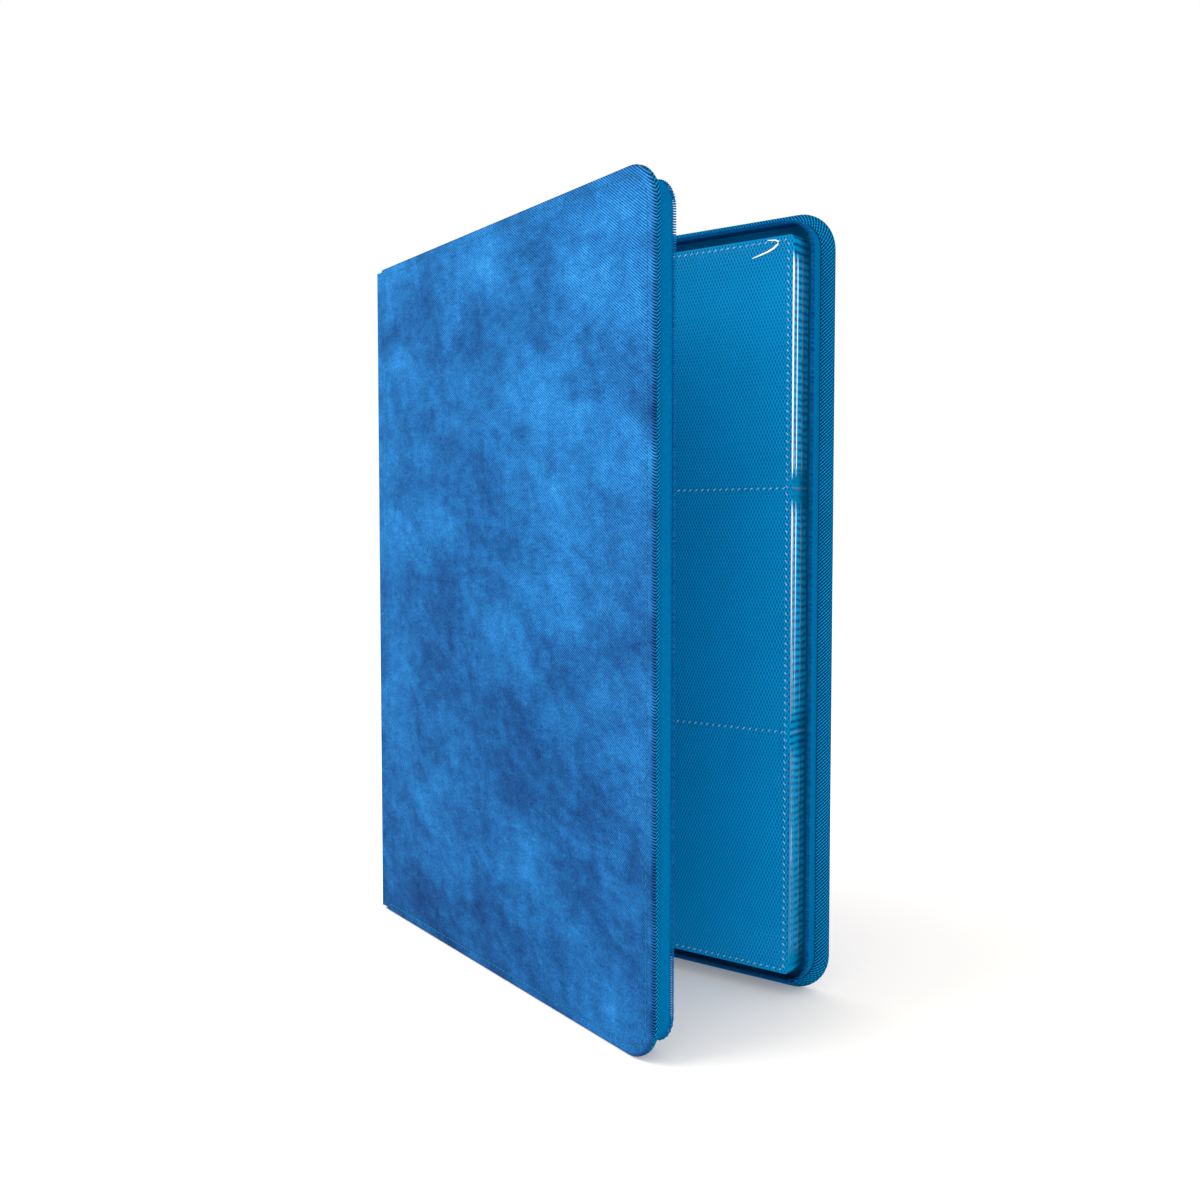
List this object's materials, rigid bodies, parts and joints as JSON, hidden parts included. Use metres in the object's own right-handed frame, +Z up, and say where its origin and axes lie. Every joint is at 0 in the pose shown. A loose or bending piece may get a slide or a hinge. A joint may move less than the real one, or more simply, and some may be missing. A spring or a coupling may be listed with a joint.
{
  "type": "trading card binder",
  "caption": "Zip-up album of pocket pages for trading cards, standing with its padded front cover slightly open; covers, spine, pages, slider and puller all move.",
  "frame": {"origin": "middle of the footprint of the standing, slightly opened album, on the surface it stands on", "axes": "+Z up along the spine, +X from the spine to the rear cover's free edge, -Y from the rear cover towards the front cover"},
  "size_m": [0.2364, 0.1081, 0.32],
  "materials": {
    "suede_cloth": "matte",
    "foam": "matte",
    "stiff_board": "matte",
    "lining_cloth": "matte",
    "blue_thread": "satin",
    "twill": "matte",
    "tape": "satin",
    "coil": "satin",
    "page_plastic": "satin",
    "bare_metal": "satin",
    "dark_metal": "satin"
  },
  "bodies": {
    "rear_cover": {"rear_skin": "suede_cloth", "rear_padding": "foam", "rear_board": "stiff_board", "rear_lining": "lining_cloth", "rear_stitching": "blue_thread", "rear_edge_wall": "twill", "rear_zip_tape": "tape", "rear_zip_coil": "coil", "rear_zip_stops": "bare_metal"},
    "spine": {"spine_skin": "suede_cloth", "spine_board": "stiff_board", "spine_lining": "lining_cloth", "page_binding": "lining_cloth", "binding_stitching": "blue_thread"},
    "front_cover": {"front_skin": "suede_cloth", "front_padding": "foam", "front_board": "stiff_board", "front_lining": "lining_cloth", "front_stitching": "blue_thread", "front_edge_wall": "twill", "front_zip_tape": "tape", "front_zip_coil": "coil", "front_zip_stops": "bare_metal"},
    "page_01": {"page_01": "page_plastic"},
    "page_02": {"page_02": "page_plastic"},
    "page_03": {"page_03": "page_plastic"},
    "page_04": {"page_04": "page_plastic"},
    "page_05": {"page_05": "page_plastic"},
    "page_06": {"page_06": "page_plastic"},
    "page_07": {"page_07": "page_plastic"},
    "page_08": {"page_08": "page_plastic"},
    "page_09": {"page_09": "page_plastic"},
    "page_10": {"page_10": "page_plastic"},
    "page_11": {"page_11": "page_plastic"},
    "page_12": {"page_12": "page_plastic"},
    "page_13": {"page_13": "page_plastic"},
    "page_14": {"page_14": "page_plastic"},
    "page_15": {"page_15": "page_plastic"},
    "page_16": {"page_16": "page_plastic"},
    "page_17": {"page_17": "page_plastic"},
    "page_18": {"page_18": "page_plastic"},
    "page_19": {"page_19": "page_plastic"},
    "page_20": {"page_20": "page_plastic"},
    "slider": {"slider_body": "dark_metal", "slider_pin": "bare_metal"},
    "puller": {"zip_puller": "dark_metal"}
  },
  "joints": [
    {"name": "spine_hinge", "type": "hinge", "parent": "rear_cover", "child": "spine", "pos_m": [-0.11825, 0.05405, 0.16], "axis": [0, 0, -1], "range_deg": [0, 90]},
    {"name": "front_hinge", "type": "hinge", "parent": "spine", "child": "front_cover", "pos_m": [-0.11825, 0.02505, 0.16], "axis": [0, 0, -1], "range_deg": [-19.64, 70.36]},
    {"name": "page_01_turn", "type": "hinge", "parent": "spine", "child": "page_01", "pos_m": [-0.11225, 0.05044, 0.16], "axis": [0, 0, 1], "range_deg": [0, 90.01]},
    {"name": "page_02_turn", "type": "hinge", "parent": "spine", "child": "page_02", "pos_m": [-0.11225, 0.04982, 0.16], "axis": [0, 0, 1], "range_deg": [0, 85.51]},
    {"name": "page_03_turn", "type": "hinge", "parent": "spine", "child": "page_03", "pos_m": [-0.11225, 0.0492, 0.16], "axis": [0, 0, 1], "range_deg": [0, 81.01]},
    {"name": "page_04_turn", "type": "hinge", "parent": "spine", "child": "page_04", "pos_m": [-0.11225, 0.04858, 0.16], "axis": [0, 0, 1], "range_deg": [0, 76.51]},
    {"name": "page_05_turn", "type": "hinge", "parent": "spine", "child": "page_05", "pos_m": [-0.11225, 0.04796, 0.16], "axis": [0, 0, 1], "range_deg": [0, 72.01]},
    {"name": "page_06_turn", "type": "hinge", "parent": "spine", "child": "page_06", "pos_m": [-0.11225, 0.04734, 0.16], "axis": [0, 0, 1], "range_deg": [0, 67.51]},
    {"name": "page_07_turn", "type": "hinge", "parent": "spine", "child": "page_07", "pos_m": [-0.11225, 0.04672, 0.16], "axis": [0, 0, 1], "range_deg": [0, 63.01]},
    {"name": "page_08_turn", "type": "hinge", "parent": "spine", "child": "page_08", "pos_m": [-0.11225, 0.0461, 0.16], "axis": [0, 0, 1], "range_deg": [0, 58.51]},
    {"name": "page_09_turn", "type": "hinge", "parent": "spine", "child": "page_09", "pos_m": [-0.11225, 0.04548, 0.16], "axis": [0, 0, 1], "range_deg": [0, 54.01]},
    {"name": "page_10_turn", "type": "hinge", "parent": "spine", "child": "page_10", "pos_m": [-0.11225, 0.04486, 0.16], "axis": [0, 0, 1], "range_deg": [0, 49.51]},
    {"name": "page_11_turn", "type": "hinge", "parent": "spine", "child": "page_11", "pos_m": [-0.11225, 0.04424, 0.16], "axis": [0, 0, 1], "range_deg": [0, 45.01]},
    {"name": "page_12_turn", "type": "hinge", "parent": "spine", "child": "page_12", "pos_m": [-0.11225, 0.04362, 0.16], "axis": [0, 0, 1], "range_deg": [0, 40.51]},
    {"name": "page_13_turn", "type": "hinge", "parent": "spine", "child": "page_13", "pos_m": [-0.11225, 0.043, 0.16], "axis": [0, 0, 1], "range_deg": [0, 36.01]},
    {"name": "page_14_turn", "type": "hinge", "parent": "spine", "child": "page_14", "pos_m": [-0.11225, 0.04238, 0.16], "axis": [0, 0, 1], "range_deg": [0, 31.51]},
    {"name": "page_15_turn", "type": "hinge", "parent": "spine", "child": "page_15", "pos_m": [-0.11225, 0.04176, 0.16], "axis": [0, 0, 1], "range_deg": [0, 27.01]},
    {"name": "page_16_turn", "type": "hinge", "parent": "spine", "child": "page_16", "pos_m": [-0.11225, 0.04114, 0.16], "axis": [0, 0, 1], "range_deg": [0, 22.51]},
    {"name": "page_17_turn", "type": "hinge", "parent": "spine", "child": "page_17", "pos_m": [-0.11225, 0.04052, 0.16], "axis": [0, 0, 1], "range_deg": [0, 18.01]},
    {"name": "page_18_turn", "type": "hinge", "parent": "spine", "child": "page_18", "pos_m": [-0.11225, 0.0399, 0.16], "axis": [0, 0, 1], "range_deg": [0, 13.51]},
    {"name": "page_19_turn", "type": "hinge", "parent": "spine", "child": "page_19", "pos_m": [-0.11225, 0.03928, 0.16], "axis": [0, 0, 1], "range_deg": [0, 9.01]},
    {"name": "page_20_turn", "type": "hinge", "parent": "spine", "child": "page_20", "pos_m": [-0.11225, 0.03866, 0.16], "axis": [0, 0, 1], "range_deg": [0, 4.51]},
    {"name": "zipper_slide", "type": "slide", "parent": "rear_cover", "child": "slider", "axis": [1, 0, 0], "range_m": [0, 0.19]},
    {"name": "puller_swing", "type": "hinge", "parent": "slider", "child": "puller", "pos_m": [-0.10155, 0.03955, 0.3191], "axis": [0, -1, 0], "range_deg": [0, 180]}
  ],
  "couplings": [
    {"joint": "page_01_turn", "follows": "spine_hinge", "ratio": 1},
    {"joint": "page_02_turn", "follows": "spine_hinge", "ratio": 0.95},
    {"joint": "page_03_turn", "follows": "spine_hinge", "ratio": 0.9},
    {"joint": "page_04_turn", "follows": "spine_hinge", "ratio": 0.85},
    {"joint": "page_05_turn", "follows": "spine_hinge", "ratio": 0.8},
    {"joint": "page_06_turn", "follows": "spine_hinge", "ratio": 0.75},
    {"joint": "page_07_turn", "follows": "spine_hinge", "ratio": 0.7},
    {"joint": "page_08_turn", "follows": "spine_hinge", "ratio": 0.65},
    {"joint": "page_09_turn", "follows": "spine_hinge", "ratio": 0.6},
    {"joint": "page_10_turn", "follows": "spine_hinge", "ratio": 0.55},
    {"joint": "page_11_turn", "follows": "spine_hinge", "ratio": 0.5},
    {"joint": "page_12_turn", "follows": "spine_hinge", "ratio": 0.45},
    {"joint": "page_13_turn", "follows": "spine_hinge", "ratio": 0.4},
    {"joint": "page_14_turn", "follows": "spine_hinge", "ratio": 0.35},
    {"joint": "page_15_turn", "follows": "spine_hinge", "ratio": 0.3},
    {"joint": "page_16_turn", "follows": "spine_hinge", "ratio": 0.25},
    {"joint": "page_17_turn", "follows": "spine_hinge", "ratio": 0.2},
    {"joint": "page_18_turn", "follows": "spine_hinge", "ratio": 0.15},
    {"joint": "page_19_turn", "follows": "spine_hinge", "ratio": 0.1},
    {"joint": "page_20_turn", "follows": "spine_hinge", "ratio": 0.05}
  ]
}
